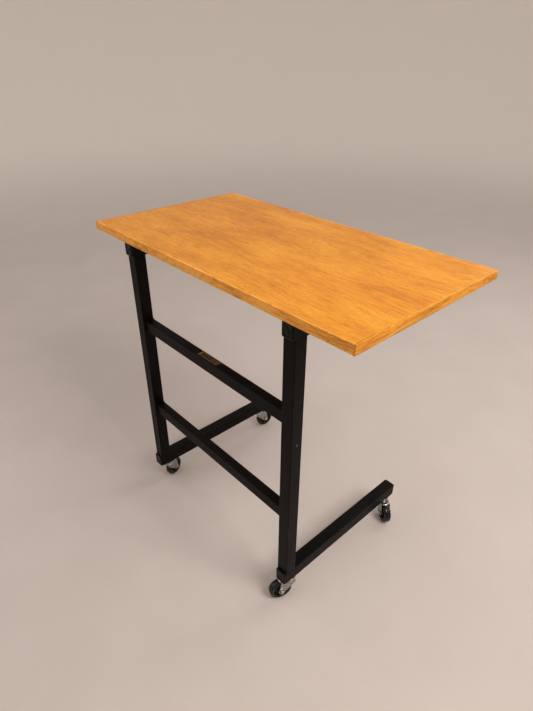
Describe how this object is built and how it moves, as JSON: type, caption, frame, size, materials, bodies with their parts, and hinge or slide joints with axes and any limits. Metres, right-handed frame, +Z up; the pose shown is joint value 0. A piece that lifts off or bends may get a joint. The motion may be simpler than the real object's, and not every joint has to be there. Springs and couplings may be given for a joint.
{
  "type": "mobile standing desk",
  "caption": "Mobile standing desk: a rectangular oak-veneered board on a black tubular steel C-frame with crossbars, rolling on swivel casters.",
  "frame": {"origin": "on the floor, in the middle of the overall box of the desk, casters included", "axes": "+Z up; X along the long side of the board; the uprights and crossbars stand at the -Y (back) side and the feet and arms reach to +Y (front)"},
  "size_m": [1.1, 0.6326, 1.0466],
  "materials": {
    "oak_veneer": "warm lacquered oak veneer, satin",
    "oak_lipping": "lacquered solid oak lipping, satin",
    "backing_veneer": "plain backing veneer, matt",
    "chipboard": "raw chipboard",
    "black_paint": "satin black paint on steel tube",
    "cap_plastic": "moulded black plastic, lightly polished",
    "screw_steel": "zinc-plated screw",
    "plain_steel": "plain steel",
    "bright_zinc": "bright zinc plating",
    "wheel_plastic": "moulded black plastic",
    "tyre_rubber": "black rubber, slightly dusty"
  },
  "bodies": {
    "frame": {"board_core": "chipboard", "board_face_veneer": "oak_veneer", "board_back_veneer": "backing_veneer", "lipping_left": "oak_lipping", "lipping_right": "oak_lipping", "lipping_back": "oak_lipping", "lipping_front": "oak_lipping", "foot_tube_left": "black_paint", "upright_tube_left": "black_paint", "arm_tube_left": "black_paint", "foot_cap_front_left": "cap_plastic", "foot_cap_back_left": "cap_plastic", "arm_cap_front_left": "cap_plastic", "arm_cap_back_left": "cap_plastic", "board_screws_left": "screw_steel", "weld_nuts_left": "plain_steel", "foot_tube_right": "black_paint", "upright_tube_right": "black_paint", "arm_tube_right": "black_paint", "foot_cap_front_right": "cap_plastic", "foot_cap_back_right": "cap_plastic", "arm_cap_front_right": "cap_plastic", "arm_cap_back_right": "cap_plastic", "board_screws_right": "screw_steel", "weld_nuts_right": "plain_steel", "crossbar_lower": "black_paint", "crossbar_upper": "black_paint", "stem_back_left": "bright_zinc", "swivel_race_back_left": "bright_zinc", "bearing_balls_back_left": "plain_steel", "stem_back_right": "bright_zinc", "swivel_race_back_right": "bright_zinc", "bearing_balls_back_right": "plain_steel", "stem_front_left": "bright_zinc", "swivel_race_front_left": "bright_zinc", "bearing_balls_front_left": "plain_steel", "stem_front_right": "bright_zinc", "swivel_race_front_right": "bright_zinc", "bearing_balls_front_right": "plain_steel"},
    "fork_back_left": {"fork_back_left": "bright_zinc", "axle_bolt_back_left": "bright_zinc", "axle_nut_back_left": "bright_zinc"},
    "wheel_back_left": {"wheel_centre_back_left": "wheel_plastic", "tyre_back_left": "tyre_rubber"},
    "fork_back_right": {"fork_back_right": "bright_zinc", "axle_bolt_back_right": "bright_zinc", "axle_nut_back_right": "bright_zinc"},
    "wheel_back_right": {"wheel_centre_back_right": "wheel_plastic", "tyre_back_right": "tyre_rubber"},
    "fork_front_left": {"fork_front_left": "bright_zinc", "axle_bolt_front_left": "bright_zinc", "axle_nut_front_left": "bright_zinc"},
    "wheel_front_left": {"wheel_centre_front_left": "wheel_plastic", "tyre_front_left": "tyre_rubber"},
    "fork_front_right": {"fork_front_right": "bright_zinc", "axle_bolt_front_right": "bright_zinc", "axle_nut_front_right": "bright_zinc"},
    "wheel_front_right": {"wheel_centre_front_right": "wheel_plastic", "tyre_front_right": "tyre_rubber"}
  },
  "joints": [
    {"name": "swivel_back_left", "type": "hinge", "parent": "frame", "child": "fork_back_left", "pos_m": [-0.356, -0.25026, 0.08505], "axis": [0, 0, 1], "continuous": true},
    {"name": "roll_back_left", "type": "hinge", "parent": "fork_back_left", "child": "wheel_back_left", "pos_m": [-0.36609, -0.22095, 0.0375], "axis": [-0.9455, -0.3256, 0], "continuous": true},
    {"name": "swivel_back_right", "type": "hinge", "parent": "frame", "child": "fork_back_right", "pos_m": [0.356, -0.25026, 0.08505], "axis": [0, 0, 1], "continuous": true},
    {"name": "roll_back_right", "type": "hinge", "parent": "fork_back_right", "child": "wheel_back_right", "pos_m": [0.34439, -0.279, 0.0375], "axis": [0.9272, -0.3746, 0], "continuous": true},
    {"name": "swivel_front_left", "type": "hinge", "parent": "frame", "child": "fork_front_left", "pos_m": [-0.356, 0.24774, 0.08505], "axis": [0, 0, 1], "continuous": true},
    {"name": "roll_front_left", "type": "hinge", "parent": "fork_front_left", "child": "wheel_front_left", "pos_m": [-0.35115, 0.27836, 0.0375], "axis": [-0.9877, 0.1564, 0], "continuous": true},
    {"name": "swivel_front_right", "type": "hinge", "parent": "frame", "child": "fork_front_right", "pos_m": [0.356, 0.24774, 0.08505], "axis": [0, 0, 1], "continuous": true},
    {"name": "roll_front_right", "type": "hinge", "parent": "fork_front_right", "child": "wheel_front_right", "pos_m": [0.38257, 0.23177, 0.0375], "axis": [0.515, 0.8572, 0], "continuous": true}
  ]
}
